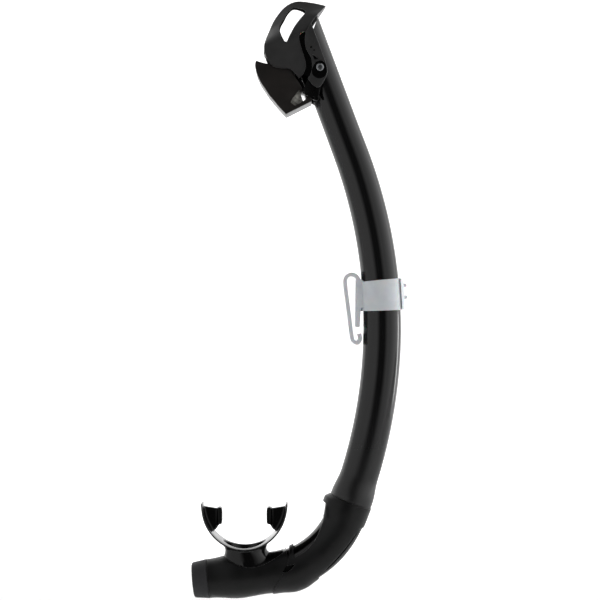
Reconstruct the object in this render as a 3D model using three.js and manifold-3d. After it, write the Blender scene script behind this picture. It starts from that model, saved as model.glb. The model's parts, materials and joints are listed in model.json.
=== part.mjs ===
// A dry-top snorkel tube. Millimetres, +Z up, +X towards the back of the tube, +Y away from the viewer.
// The origin is the middle of the flat seat that the mask strap bears on, inside the keeper's hook.
import * as THREE from 'three';
import { mergeVertices } from 'three/addons/utils/BufferGeometryUtils.js';
import Module from 'manifold-3d';

const wasm = await Module();
wasm.setup();

const deg = Math.PI / 180;
const gap = 0.3; // clearance between two pieces that touch
const sides = 28; // facets around a round section

// Barrel: an oval tube whose centreline is one long arc, straight above the bend
const barrelRadius = 364;
const barrelCentre = { x: -345.2, z: -14.7 };
const bendTop = 20.56 * deg; // lean of the straight upper stretch
const barrelFoot = -20.5 * deg; // lean at the swivel seam
const barrelWall = 1.9;
const upperHalfWidth = 12.7;
const lowerHalfWidth = 14;
const ovalFlattening = 1.7; // how much less the half-width is across Y
const taperTop = 150; // the width starts to grow below this station
const taperFoot = -3;
const seamRadius = 15.75;
const flareTop = -110;
const flareFoot = -128;
const socketRadius = 13.9; // bore that takes the swivel ring
const socketDepth = 6.5;
const socketRunOut = 9;

// Head: local axes at the float pin, x across the tube towards its back and z up the tube
const pinStation = 195.3;
const barrelRise = 44; // barrel stock above the pin, before the slanting mouth is cut
const mouthSlope = 50 * deg; // slant of the tube's mouth from square
const mouthMiddle = { x: 0.2, z: 22 };
const floatSwing = 15 * deg;
const saddleThickness = 1.6;
const saddleBack = 5.3; // where the saddle's edges lie on the tube's flanks
const saddleFoot = -17;
const armInner = 13.3;
const armOuter = 14.9;
const cheekInner = 15.2;
const cheekOuter = 17;
const screenInner = 11.3; // screens that close the gap between hood and cheeks, clear of the flap
const screenOuter = 12.9;
const bossRadius = 4.4;
const bossRecess = 4.8;
const shankRadius = 1.5;
const pinHeadRadius = 3;
const pinBore = shankRadius + gap;
const flapGap = 0.4; // between the closed flap and the tube's mouth
const gasketThickness = 2;
const flapThickness = 1.6;
const hoodWall = 1.6;
const lobeOuter = 15.2;
const tongueHalfWidth = 10.4;
const floatHalfWidth = 13;
const floatWall = 1.4;
const foamGap = 0.4;
const trench = { inner: 39.5, outer: 44.8, halfWidth: 11.1 };

// Elbow: straight below the seam, one bend, then the straight purge chamber
const elbowLead = 11.7;
const elbowRadius = 65;
const elbowTurn = 63.8 * deg;
const elbowBendEnd = elbowLead + elbowRadius * elbowTurn;
const siliconeRadius = 14.3;
const siliconeWall = 2.7;
const shellInner = siliconeRadius + gap;
const shellEnd = 77.9;
const chamberStart = shellEnd + gap;
const chamberEnd = 130.2;
const chamberWall = 1.8;
const capLength = 11.2;
const linerEnd = 116;
const linerWall = 1.6;
const spigotTop = 71; // where the mouthpiece's spigot ends inside the bend
const bendHead = 2.4;
const bendFoot = shellEnd - 0.6;
const seatStation = 121.5;
const seatThickness = 2;
const diaphragmRadius = 10;

// Mouthpiece
const biteCentre = { x: -82.3, z: -143.5 };
const neckX = -81.5;
const flangeWidth = 31;
const flangeDepth = 33.5;
const flangeThickness = 1.8;
const flangeHalfHeight = 14.5;
const mouthBore = { a: 11.5, b: 8 };

// Strap keeper
const bandFoot = 12;
const bandTop = 34.4;
const bandThickness = 1.3;
const bandInner = { a: 14.35, b: 12.65 };
const hookHalfWidth = 7;
const hookStrip = 2.8;

function finish(color, roughness, metalness = 0) {
  return new THREE.MeshStandardMaterial({ color, roughness, metalness });
}

const glossyTube = finish(0x101012, 0.18);
const satinHead = finish(0x1b1b1d, 0.4);
const floatPlastic = finish(0x171615, 0.3);
const mattePlastic = finish(0x26272a, 0.62);
const capPlastic = finish(0x333437, 0.6);
const blackSilicone = finish(0x0c0c0d, 0.12);
const clearSilicone = finish(0xd9c7ab, 0.45);
const greyFoam = finish(0x8d8c88, 0.95);
const paleKeeper = finish(0xc9cdd1, 0.45);
const pinSteel = finish(0x9a9da0, 0.25, 1);
const sealRubber = finish(0x151515, 0.7);

// ---- shape helpers ----

function toSolid(geometry) {
  geometry.deleteAttribute('normal');
  geometry.deleteAttribute('uv');
  const welded = mergeVertices(geometry, 1e-4);
  const mesh = new wasm.Mesh({
    numProp: 3,
    vertProperties: new Float32Array(welded.attributes.position.array),
    triVerts: new Uint32Array(welded.index.array),
  });
  return new wasm.Manifold(mesh);
}

function toGeometry(solid) {
  const mesh = solid.getMesh();
  const geometry = new THREE.BufferGeometry();
  geometry.setAttribute('position', new THREE.BufferAttribute(mesh.vertProperties, 3));
  geometry.setIndex(new THREE.BufferAttribute(mesh.triVerts, 1));
  geometry.computeVertexNormals();
  return geometry;
}

function ring(radius, count) {
  const step = (2 * Math.PI) / count;
  const corner = (_, i) => new THREE.Vector2(Math.cos(i * step), Math.sin(i * step)).multiplyScalar(radius);
  return Array.from({ length: count }, corner);
}

function range(from, to, steps) {
  return Array.from({ length: steps + 1 }, (_, i) => from + ((to - from) * i) / steps);
}

function smooth(value, from, to) {
  return THREE.MathUtils.smoothstep(value, from, to);
}

// A side profile, given as [x, z] points, made solid between two depths in y
function plate(points, nearY, farY) {
  const outline = new THREE.Shape(points.map(([x, z]) => new THREE.Vector2(x, z)));
  const geometry = new THREE.ExtrudeGeometry(outline, { depth: farY - nearY, bevelEnabled: false });
  geometry.rotateX(Math.PI / 2);
  geometry.translate(0, farY, 0);
  return toSolid(geometry);
}

function bothSides(points, innerY, outerY) {
  return plate(points, innerY, outerY).add(plate(points, -outerY, -innerY));
}

// A round or oval section carried along a path in the XZ plane. place(station) gives the centre,
// the lean of the path from vertical and the half-widths: a in the plane, b across it, and a shift outward.
function sweep(stations, place, hollow = false, count = sides) {
  const outline = new THREE.Shape(ring(1, count));
  if (hollow) {
    outline.holes.push(new THREE.Path(ring(0.5, count)));
  }
  const steps = stations.length - 1;
  const geometry = new THREE.ExtrudeGeometry(outline, { depth: 1, steps, bevelEnabled: false });
  const at = geometry.attributes.position;
  for (let i = 0; i < at.count; i++) {
    const here = place(stations[Math.round(at.getZ(i) * steps)]);
    const radius = Math.hypot(at.getX(i), at.getY(i));
    const wall = radius > 0.75 ? here.outer : here.inner;
    const across = (at.getX(i) / radius) * wall.a + (wall.shift ?? 0);
    const deep = (at.getY(i) / radius) * wall.b;
    at.setXYZ(i, here.x + across * Math.cos(here.lean), deep, here.z + across * Math.sin(here.lean));
  }
  return toSolid(geometry);
}

// A cylinder along Y
function peg(radius, x, z, nearY, farY, count = 24) {
  const geometry = new THREE.CylinderGeometry(radius, radius, farY - nearY, count);
  geometry.translate(x, (nearY + farY) / 2, z);
  return toSolid(geometry);
}

// A turned profile, [radius, height] points, standing along Z at the origin
function turned(points, count = sides) {
  const profile = points.map(([radius, height]) => new THREE.Vector2(radius, height));
  const geometry = new THREE.LatheGeometry(profile, count);
  geometry.rotateX(Math.PI / 2);
  return toSolid(geometry);
}

function moved(solid, matrix) {
  const geometry = toGeometry(solid);
  geometry.applyMatrix4(matrix);
  return toSolid(geometry);
}

function node(name, solid, material) {
  const geometry = solid.isBufferGeometry ? solid : toGeometry(solid);
  const mesh = new THREE.Mesh(geometry, material);
  mesh.name = name;
  return mesh;
}

// ---- paths ----

function barrelAt(station) {
  const lean = Math.min(station / barrelRadius, bendTop);
  const straight = Math.max(0, station - bendTop * barrelRadius);
  return {
    x: barrelCentre.x + barrelRadius * Math.cos(lean) - straight * Math.sin(lean),
    z: barrelCentre.z + barrelRadius * Math.sin(lean) + straight * Math.cos(lean),
    lean,
  };
}

function barrelWidths(station) {
  const grown = THREE.MathUtils.clamp((taperTop - station) / (taperTop - taperFoot), 0, 1);
  const oval = upperHalfWidth + grown * (lowerHalfWidth - upperHalfWidth);
  const flare = 1 - smooth(station, flareFoot, flareTop);
  const narrow = oval - ovalFlattening;
  return { a: oval + flare * (seamRadius - oval), b: narrow + flare * (seamRadius - narrow) };
}

const barrelEnd = barrelFoot * barrelRadius;
const seam = barrelAt(barrelEnd);
const pin = barrelAt(pinStation);
const headMatrix = new THREE.Matrix4().makeRotationY(-bendTop).setPosition(pin.x, 0, pin.z);

// The elbow's stations run down from the seam, so a growing station lowers the lean
function elbowAt(station) {
  const lead = Math.min(station, elbowLead);
  const turn = THREE.MathUtils.clamp((station - elbowLead) / elbowRadius, 0, elbowTurn);
  const lean = barrelFoot - turn;
  const beyond = Math.max(0, station - elbowBendEnd);
  const startX = seam.x + lead * Math.sin(barrelFoot);
  const startZ = seam.z - lead * Math.cos(barrelFoot);
  const bendX = elbowRadius * (Math.cos(lean) - Math.cos(barrelFoot));
  const bendZ = elbowRadius * (Math.sin(lean) - Math.sin(barrelFoot));
  return {
    x: startX + bendX + beyond * Math.sin(lean),
    z: startZ + bendZ - beyond * Math.cos(lean),
    lean,
  };
}

// Puts a piece turned along Z onto the elbow's path, its own +Z pointing back up towards the seam
function onElbow(solid, station) {
  const here = elbowAt(station);
  const matrix = new THREE.Matrix4().makeRotationY(-here.lean).setPosition(here.x, 0, here.z);
  return moved(solid, matrix);
}

// ---- strap keeper ----

// A strip of even thickness along a smooth line
function strip(points, thickness) {
  const line = new THREE.SplineCurve(points.map(([x, z]) => new THREE.Vector2(x, z)));
  const count = 26;
  const left = [];
  const right = [];
  for (const t of range(0, 1, count)) {
    const middle = line.getPoint(t);
    const along = line.getTangent(t);
    left.push([middle.x - (along.y * thickness) / 2, middle.y + (along.x * thickness) / 2]);
    right.unshift([middle.x + (along.y * thickness) / 2, middle.y - (along.x * thickness) / 2]);
  }
  return [...left, ...right];
}

function strapKeeper() {
  const place = (station) => ({
    ...barrelAt(station),
    outer: { a: bandInner.a + bandThickness, b: bandInner.b + bandThickness },
    inner: bandInner,
  });
  const band = sweep(range(bandFoot, bandTop, 4), place, true);
  const legProfile = [[0, -13], [0.8, -15.5], [2, -15.5], [2.2, 0], [3, 18], [0, 18]];
  const leg = plate(legProfile, -hookHalfWidth, hookHalfWidth);
  const hookLine = [[2, 18.6], [-0.5, 22.4], [-4.6, 23.6], [-8, 21], [-8.3, 15], [-5.9, -4], [-3.6, -22]];
  const curlLine = [[-1.9, -25.6], [0.6, -26.3], [2.4, -23.8], [1.9, -19.8]];
  const hook = plate(strip([...hookLine, ...curlLine], hookStrip), -hookHalfWidth, hookHalfWidth);
  const middle = barrelAt((bandFoot + bandTop) / 2);
  const clasp = new THREE.BoxGeometry(3, 15, 20);
  clasp.translate(bandInner.a + 2.3, 0, 0);
  const pegs = [];
  for (const height of [6.2, -2.6]) {
    const stud = new THREE.CylinderGeometry(1.45, 1.45, 4.6, 24);
    stud.rotateZ(Math.PI / 2);
    stud.translate(bandInner.a + 5, 0, height);
    pegs.push(toSolid(stud));
  }
  const back = pegs.reduce((all, stud) => all.add(stud), toSolid(clasp));
  const turn = new THREE.Matrix4().makeRotationY(-middle.lean).setPosition(middle.x, 0, middle.z);
  const cleared = { a: bandInner.a + 0.4, b: bandInner.b + 0.4 };
  const bore = sweep(range(bandFoot - 2, bandTop + 2, 4), (s) => ({ ...barrelAt(s), outer: cleared }));
  return leg.add(hook).add(moved(back, turn)).subtract(bore).add(band);
}

// ---- barrel ----

function barrel() {
  const place = (station) => {
    const outer = barrelWidths(station);
    const socket = 1 - smooth(station, barrelEnd + socketDepth, barrelEnd + socketDepth + socketRunOut);
    const a = outer.a - barrelWall;
    const b = outer.b - barrelWall;
    const inner = { a: a + socket * (socketRadius - a), b: b + socket * (socketRadius - b) };
    return { ...barrelAt(station), outer, inner };
  };
  const foot = range(barrelEnd, flareTop, 6);
  const bend = range(flareTop, bendTop * barrelRadius, 16).slice(1);
  const stock = sweep([...foot, ...bend, taperTop, pinStation + barrelRise], place, true);
  return stock.subtract(moved(beyondMouth(0), headMatrix));
}

// Everything outside the slanting plane of the tube's mouth, moved out by an offset
function beyondMouth(offset) {
  const size = 100;
  const block = new THREE.BoxGeometry(size, size, size);
  block.translate(0, 0, size / 2 + offset);
  block.rotateY(-mouthSlope);
  block.translate(mouthMiddle.x, 0, mouthMiddle.z);
  return toSolid(block);
}

// ---- head, in its local axes ----

function headBody() {
  const saddleInner = { a: upperHalfWidth + gap, b: upperHalfWidth - ovalFlattening + gap };
  const saddleOuter = { a: saddleInner.a + saddleThickness, b: saddleInner.b + saddleThickness };
  const place = (height) => ({ x: 0, z: height, lean: 0, outer: saddleOuter, inner: saddleInner });
  const wrap = sweep([saddleFoot, barrelRise], place, true);
  const flank = [[saddleBack, barrelRise], [-20, barrelRise], [-20, saddleFoot], [-8.8, saddleFoot]];
  const heel = [[2.5, -6], [saddleBack, 2.4]];
  const saddle = wrap.intersect(plate([...flank, ...heel], -20, 20)).subtract(beyondMouth(-0.5));
  const front = [[-0.5, 25.4], [-3.6, 21.2], [-4.7, 15.3], [-3.6, 8.5], [-5.3, 2.1], [-11.2, -4.3]];
  const shield = [[-6.1, -13.6], [-1, -10.4], [4.1, -4.9], [saddleBack, 2.4], [saddleBack, 31]];
  const cheeks = bothSides([...front, ...shield], cheekInner, cheekOuter);
  const webProfile = [[-2.6, 10], [-2.6, 21], [-0.3, 24.6], [saddleBack, 30], [saddleBack, 7.2], [0, 7.2]];
  const webs = bothSides(webProfile, saddleInner.b + 0.2, cheekInner + 0.5);
  const screenFoot = [[-12.5, -1], [-9, -3], [-2, -3], [saddleBack, 8]];
  const screenTop = [[saddleBack, 29.5], [-4, 27.4], [-12.5, 23]];
  const screens = bothSides([...screenFoot, ...screenTop], screenInner, screenOuter);
  const recesses = [-1, 1].map((side) => {
    const near = side > 0 ? cheekOuter - 0.8 : -cheekOuter - 1;
    return peg(bossRecess, 0, 0, near, near + 1.8);
  });
  const bore = peg(pinBore, 0, 0, -20, 20);
  const notch = bothSides([[-2.1, 10.7], [1.4, 5.8], [-1.8, 6.3]], cheekOuter - 0.6, cheekOuter + 1);
  const whole = saddle.add(cheeks).add(webs).add(screens);
  return whole.subtract(recesses[0]).subtract(recesses[1]).subtract(bore).subtract(notch);
}

// The hood seen from the side: crown from the beak's tip over to the front, then the lobe and the strut
const crown = [
  [20.8, 42.3], [16.3, 45.5], [11.4, 48.5], [6.4, 51.2], [1.7, 53], [-3, 53.3], [-8.3, 52],
  [-14.3, 48.8], [-20.1, 44.4], [-26.7, 37.3], [-31.6, 30.7],
];
const lobeEdge = [
  [-30.6, 26.8], [-32.6, 20.9], [-32.9, 17.4], [-31.2, 11.7], [-26.7, 9.4], [-20.1, 6], [-18.5, 2.4],
  [-17.2, -2], [-13.4, -0.1], [-10.3, 4.1], [-9.7, 7.5], [-9.4, 14.6], [-8.8, 21.6], [-7.5, 25.9],
  [-5.1, 28.6], [-2.8, 28.9], [-0.5, 26.2], [2.8, 30.4], [10.4, 36], [16.5, 39.7],
];
const hoodWindow = [
  [-3.4, 49], [-0.2, 48.1], [3.7, 45.4], [4.8, 43.5], [4.2, 41.9], [1.7, 40.2], [-2.3, 37.7], [-6.2, 35.1],
  [-9.7, 32.1], [-13.4, 28.7], [-15.9, 26], [-17.2, 26.5], [-17.8, 31.5], [-17.4, 37.4], [-15.6, 40.4],
  [-11.2, 44.1], [-7.9, 46.4],
];

// The hood's outline seen from the front, narrower towards the crown, carried along the local x
function frontal(inset) {
  const half = [[lobeOuter, -20], [lobeOuter, 20], [14.4, 31], [12.6, 39], [10.4, 45], [7.6, 50], [6.4, 56]];
  const right = half.map(([y, z]) => new THREE.Vector2(y - inset, z));
  const left = half.map(([y, z]) => new THREE.Vector2(inset - y, z)).reverse();
  const outline = new THREE.Shape([...right, ...left]);
  const geometry = new THREE.ExtrudeGeometry(outline, { depth: 90, bevelEnabled: false });
  geometry.rotateX(Math.PI / 2);
  geometry.rotateZ(Math.PI / 2);
  geometry.translate(-50, 0, 0);
  return toSolid(geometry);
}

function splashHood() {
  const outer = plate([...crown, ...lobeEdge], -20, 20).intersect(frontal(0));
  const centre = { x: -6, z: 22 };
  const inside = crown.slice(1).map(([x, z]) => {
    const reach = Math.hypot(x - centre.x, z - centre.z);
    const keep = (reach - hoodWall * 1.15) / reach;
    return [centre.x + (x - centre.x) * keep, centre.z + (z - centre.z) * keep];
  });
  const below = [[-34, 24], [-34, -20], [12, -20], [12, 44]];
  const hollow = plate([...inside.slice(1), ...below], -20, 20).intersect(frontal(hoodWall));
  const tongueOuter = [[-26.7, 37.3], [-31.6, 30.7], [-34.6, 24.2]];
  const tongueInner = [[-33, 23.4], [-30.1, 29.8], [-25.2, 36]];
  const tongue = plate([...tongueOuter, ...tongueInner], -tongueHalfWidth, tongueHalfWidth);
  return outer.subtract(hollow).add(tongue).subtract(plate(hoodWindow, -20, 20));
}

function hingePin(side) {
  const shank = peg(shankRadius, 0, 0, 11.8, cheekOuter - 0.3);
  const head = peg(pinHeadRadius, 0, 0, cheekOuter - 0.5, cheekOuter + 0.4);
  const dimple = peg(shankRadius - 0.1, 0, 0, cheekOuter - 0.2, cheekOuter + 2);
  const stub = shank.add(head).subtract(dimple);
  return side > 0 ? stub : moved(stub, new THREE.Matrix4().makeRotationZ(Math.PI));
}

// ---- float and flap, in the head's local axes with the float hanging ----

// A point of the flap in its open place: along the mouth's slope and out from its plane
function flapPoint(along, out) {
  const x = mouthMiddle.x + along * Math.cos(mouthSlope) - out * Math.sin(mouthSlope);
  const z = mouthMiddle.z + along * Math.sin(mouthSlope) + out * Math.cos(mouthSlope);
  const turnedX = x * Math.cos(floatSwing) - z * Math.sin(floatSwing);
  const turnedZ = x * Math.sin(floatSwing) + z * Math.cos(floatSwing);
  return [turnedX, turnedZ];
}

function flapDisc(halfLength, halfWidth, from, to) {
  const outline = new THREE.Shape(ring(1, sides));
  const geometry = new THREE.ExtrudeGeometry(outline, { depth: to - from, bevelEnabled: false });
  geometry.scale(halfLength, halfWidth, 1);
  geometry.translate(0, 0, from);
  geometry.rotateY(-mouthSlope);
  geometry.translate(mouthMiddle.x, 0, mouthMiddle.z);
  geometry.rotateY(-floatSwing);
  return toSolid(geometry);
}

const flapFoot = flapGap + gasketThickness + gap;

function sealGasket() {
  return flapDisc(17.6, 10.6, flapGap, flapGap + gasketThickness);
}

function valveLever() {
  const arm = [[-2.5, 3.2], [-15, -8.5], [-17, -14.5], [-11.6, -21.3], [-8.6, -19.5], [1.5, -4]];
  const arms = bothSides(arm, armInner, armOuter);
  const bosses = peg(bossRadius, 0, 0, armInner, armOuter).add(peg(bossRadius, 0, 0, -armOuter, -armInner));
  const stops = peg(1.8, -10.1, -20, armInner, 15.6).add(peg(1.8, -10.1, -20, -15.6, -armInner));
  const bridge = plate([[-15.4, -15.4], [-15.4, -9.5], [-17, -9.5], [-17, -15.4]], -armOuter, armOuter);
  const web = [[-15.4, -12], [-15.4, -4], [-16.4, 0], flapPoint(-20, flapFoot), flapPoint(-12, flapFoot)];
  const outside = flapFoot + flapThickness;
  const webBack = [flapPoint(-12, outside), flapPoint(-20.5, outside), [-18, 0], [-17, -4], [-17, -12]];
  const link = plate([...web, ...webBack], -6, 6);
  const flap = flapDisc(15.5, 9.5, flapFoot, outside);
  const bore = peg(pinBore, 0, 0, -20, 20);
  return arms.add(bosses).add(stops).add(bridge).add(link).add(flap).subtract(bore);
}

const floatTop = [[-20.3, 6], [-33.5, 15.4], [-38, 18.4], [-41.7, 21.3]];
const floatFront = [
  [-43.4, 18.8], [-44.3, 14.4], [-44.4, 9.8], [-43.9, 4.9], [-42.7, -0.3], [-41.5, -5.5], [-39.6, -10.9],
  [-37.7, -16.3], [-35, -22.9],
];
const floatBack = [[-13.9, -20.6], [-13.9, -17.5], [-17.4, -16], [-17.4, -8], [-19, 0]];

function annulusSlice(inner, outer, from, to) {
  const angles = range(from, to, 8);
  const outerArc = angles.map((angle) => [outer * Math.cos(angle), outer * Math.sin(angle)]);
  const innerArc = angles.map((angle) => [inner * Math.cos(angle), inner * Math.sin(angle)]).reverse();
  return [...outerArc, ...innerArc];
}

function floatChamber() {
  const block = plate([...floatTop, ...floatFront, ...floatBack], -floatHalfWidth, floatHalfWidth);
  const cavityFront = [[-33.6, 22], [-35.8, 13], [-36.8, 8.8], [-42.6, 8.3], [-42.3, 4.6], [-41.2, -0.6]];
  const cavityFoot = [[-40, -5.9], [-38.2, -11.4], [-36.3, -16.8], [-34.1, -21.3], [-15.4, -19.2]];
  const cavityBack = [[-15.4, -18.6], [-18.9, -17], [-18.9, -8], [-20.5, 0.4], [-22.6, 6.2], [-22.6, 22]];
  const reach = floatHalfWidth - floatWall;
  const cavity = plate([...cavityFront, ...cavityFoot, ...cavityBack], -reach, reach);
  const slot = annulusSlice(trench.inner, trench.outer, 140 * deg, 164 * deg);
  const groove = plate(slot, -trench.halfWidth, trench.halfWidth);
  const windowProfile = [[-19.8, -9.4], [-16.3, -17.2], [-25.7, -19.3], [-28.1, -14.8]];
  return block.subtract(cavity).subtract(groove).subtract(plate(windowProfile, -20, 20));
}

function floatCover() {
  const lid = [[-22.9, 7.4], [-33.9, 15.2], [-34.2, 13.4], [-22.9, 5.4]];
  return plate(lid, -floatHalfWidth + floatWall + gap, floatHalfWidth - floatWall - gap);
}

function foamFloat() {
  const front = [[-34.8, 12.2], [-36.2, 8.3], [-42, 7.8], [-41.8, 4.4], [-40.8, -0.8], [-39.5, -6.2]];
  const foot = [[-37.8, -11.6], [-35.9, -17], [-33.8, -20.7], [-20.6, -19]];
  const back = [[-19.4, -8], [-21, 0.6], [-23.2, 5]];
  const reach = floatHalfWidth - floatWall - foamGap;
  return plate([...front, ...foot, ...back], -reach, reach);
}

// ---- elbow and purge ----

function elbowShell() {
  const place = (station) => {
    const swell = 0.45 * smooth(station, 0, 14);
    const lobe = 0.95 * (smooth(station, 52, 64) - smooth(station, 70, shellEnd + 4));
    const width = seamRadius + swell;
    return {
      ...elbowAt(station),
      outer: { a: width + lobe, b: width, shift: lobe },
      inner: { a: shellInner, b: shellInner },
    };
  };
  const stations = [...range(shellEnd, elbowLead, 13), ...range(elbowLead, gap, 2).slice(1)];
  const tube = sweep(stations, place, true);
  const centre = elbowAt(elbowLead);
  const centreX = centre.x - elbowRadius * Math.cos(centre.lean);
  const centreZ = centre.z - elbowRadius * Math.sin(centre.lean);
  const sector = annulusSlice(30, elbowRadius - 9.3, -63 * deg, -27 * deg);
  const cutaway = plate(sector.map(([x, z]) => [centreX + x, centreZ + z]), -20, 20);
  return tube.subtract(cutaway);
}

function chamberRadius(station) {
  const along = THREE.MathUtils.clamp((station - 84) / (chamberEnd - 84), 0, 1);
  return 14.2 + 2.3 * Math.sin(Math.PI * along) ** 2;
}

const chamberBore = (station) => chamberRadius(station) - chamberWall;
const linerOuter = (station) => chamberBore(station) - gap;

function round(radius) {
  return { a: radius, b: radius };
}

// The mouthpiece's neck where it stands on the chamber, grown by an offset
function neck(offset) {
  const place = (height) => {
    const flare = 1 - smooth(height, -188, -176);
    return {
      x: neckX + 3.3 * flare,
      z: height,
      lean: 0,
      outer: { a: 14.8 + 5.2 * flare + offset, b: 11 + 2.6 * flare + offset },
    };
  };
  return sweep([-190 - offset, ...range(-188, -176, 6), -171], place);
}

// The flange's outline, open towards the teeth
function biteArch(inset) {
  const halfWidth = flangeWidth - inset;
  const arc = range(Math.PI, 2 * Math.PI, 22).map((angle) => [
    biteCentre.x + halfWidth * Math.cos(angle),
    biteCentre.z + (flangeDepth - inset) * Math.sin(angle),
  ]);
  const top = biteCentre.z + 0.1;
  return [...arc, [biteCentre.x + halfWidth, top], [biteCentre.x - halfWidth, top]];
}

function biteTab(side) {
  const bladeTop = [[29.8, -146.2], [19.8, -147.9], [18, -158.8]];
  const bladeFoot = [[21, -163.4], [24.3, -164.6], [29, -157]];
  const ridge = [[19.4, -146.8], [16.4, -147.8], [16.4, -158.6], [19.4, -159.5]];
  const placed = (points) => points.map(([x, z]) => [biteCentre.x + side * x, z]);
  const ordered = (points) => (side > 0 ? placed(points) : placed(points).reverse());
  return plate(ordered([...bladeTop, ...bladeFoot]), -2, 2).add(plate(ordered(ridge), -5, 5));
}

// The bend between the swivel ring and the mouthpiece's spigot
function siliconeBend() {
  const tube = sweep([bendFoot, ...range(spigotTop - gap, elbowLead, 12), bendHead], (station) => ({
    ...elbowAt(station),
    outer: round(siliconeRadius),
  }));
  const airway = sweep([bendFoot + 2, ...range(spigotTop - gap, elbowLead, 12), bendHead - 2], (station) => ({
    ...elbowAt(station),
    outer: round(siliconeRadius - siliconeWall),
  }));
  const socket = sweep(range(bendFoot + 2, spigotTop - gap, 2), (station) => ({
    ...elbowAt(station),
    outer: round(linerOuter(chamberStart) + gap),
  }));
  return tube.subtract(airway).subtract(socket);
}

function mouthpiece() {
  const liner = (inset, past) => sweep(
    [...range(linerEnd + past, chamberStart, 6), spigotTop - past],
    (station) => ({ ...elbowAt(station), outer: round(linerOuter(station) - inset) }),
  );
  const flange = plate(biteArch(0), -flangeHalfHeight, flangeHalfHeight);
  const mouthSpace = plate(biteArch(flangeThickness), -20, 20);
  const bore = sweep([-198, -165], (height) => ({ x: neckX, z: height, lean: 0, outer: mouthBore }));
  const outside = liner(0, 0).add(neck(0)).add(flange);
  const hollow = outside.subtract(mouthSpace).subtract(bore).subtract(liner(linerWall, 2));
  return hollow.add(biteTab(1)).add(biteTab(-1));
}

function purgeChamber() {
  const place = (station) => ({
    ...elbowAt(station),
    outer: round(chamberRadius(station)),
    inner: round(chamberBore(station)),
  });
  return sweep(range(chamberEnd, chamberStart, 9), place, true).subtract(neck(gap));
}

function purgeSeat() {
  const rim = chamberBore(chamberEnd) - gap;
  const back = -seatThickness;
  const hoop = turned([[8.8, 0], [8.8, back], [rim, back], [rim, 0], [8.8, 0]]);
  const hub = turned([[1.3, 0], [1.3, back], [2.4, back], [2.4, 0], [1.3, 0]], 24);
  let seat = hoop.add(hub);
  for (let i = 0; i < 4; i++) {
    const spoke = new THREE.BoxGeometry(7.2, 1.4, seatThickness);
    spoke.translate(5.5, 0, back / 2);
    spoke.rotateZ((i * Math.PI) / 2);
    seat = seat.add(toSolid(spoke));
  }
  return onElbow(seat, seatStation);
}

// A mushroom valve: thin disc outside the seat, stem through the hub, bead behind it
function purgeDiaphragm() {
  const disc = -seatThickness - gap;
  const profile = [
    [0, 3.1], [1.2, 2.7], [1.7, 2], [1.2, 1.6], [0.9, 1.6], [0.9, disc + 0.2], [4, disc],
    [diaphragmRadius, disc], [diaphragmRadius, disc - 0.7], [4, disc - 1], [0, disc - 1.1],
  ];
  return onElbow(turned(profile.reverse()), seatStation);
}

function purgeCap() {
  const seamR = chamberRadius(chamberEnd);
  const spigot = chamberBore(chamberEnd) - gap;
  const end = -capLength;
  const profile = [
    [spigot - 1.3, 5], [spigot, 5], [spigot, 0], [seamR, 0], [seamR - 0.6, -4], [seamR - 1.5, end + 1],
    [seamR - 2.4, end], [0, end], [0, end + 1.5], [seamR - 3.6, end + 1.5], [spigot - 1.3, -2],
    [spigot - 1.3, 5],
  ];
  let cap = turned(profile.reverse());
  for (let i = 0; i < 6; i++) {
    const slot = new THREE.BoxGeometry(5, 1.8, 6);
    slot.translate(6.4, 0, end);
    slot.rotateZ((i * Math.PI) / 3);
    cap = cap.subtract(toSolid(slot));
  }
  return onElbow(cap, chamberEnd + gap);
}

function swivelRing() {
  const profile = [
    [10.6, 5.6], [10.6, -2.1], [siliconeRadius, -2.1], [siliconeRadius, -0.6], [13.3, -0.6], [13.3, 1.4],
    [11.75, 1.4], [11.75, 3.4], [13.3, 3.4], [13.3, 5.6], [10.6, 5.6],
  ];
  return onElbow(turned(profile), 0);
}

function swivelORing() {
  const geometry = new THREE.TorusGeometry(12.8, 0.7, 8, sides);
  geometry.translate(0, 0, 2.4);
  return onElbow(toSolid(geometry), 0);
}

// ---- assembly ----

const snorkel = new THREE.Group();
snorkel.add(node('strap_keeper', strapKeeper(), paleKeeper));
snorkel.add(node('barrel', barrel(), glossyTube));

const head = new THREE.Group();
head.position.set(pin.x, 0, pin.z);
head.rotation.y = -bendTop;
head.add(node('head_body', headBody(), satinHead));
head.add(node('splash_hood', splashHood(), satinHead));
head.add(node('hinge_pin_front', hingePin(-1), pinSteel));
head.add(node('hinge_pin_rear', hingePin(1), pinSteel));
head.add(node('valve_lever', valveLever(), floatPlastic));
head.add(node('seal_gasket', sealGasket(), clearSilicone));
head.add(node('float_chamber', floatChamber(), floatPlastic));
head.add(node('float_cover', floatCover(), floatPlastic));
head.add(node('foam_float', foamFloat(), greyFoam));
snorkel.add(head);

snorkel.add(node('swivel_ring', swivelRing(), mattePlastic));
snorkel.add(node('swivel_o_ring', swivelORing(), sealRubber));
snorkel.add(node('elbow_shell', elbowShell(), mattePlastic));
snorkel.add(node('silicone_bend', siliconeBend(), blackSilicone));
snorkel.add(node('mouthpiece', mouthpiece(), blackSilicone));
snorkel.add(node('purge_chamber', purgeChamber(), mattePlastic));
snorkel.add(node('purge_seat', purgeSeat(), satinHead));
snorkel.add(node('purge_diaphragm', purgeDiaphragm(), clearSilicone));
snorkel.add(node('purge_cap', purgeCap(), capPlastic));

export default snorkel;
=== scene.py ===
import json
import math
import bmesh
import bpy
from mathutils import Matrix, Vector
from mathutils.geometry import interpolate_bezier
from mathutils.kdtree import KDTree


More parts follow.
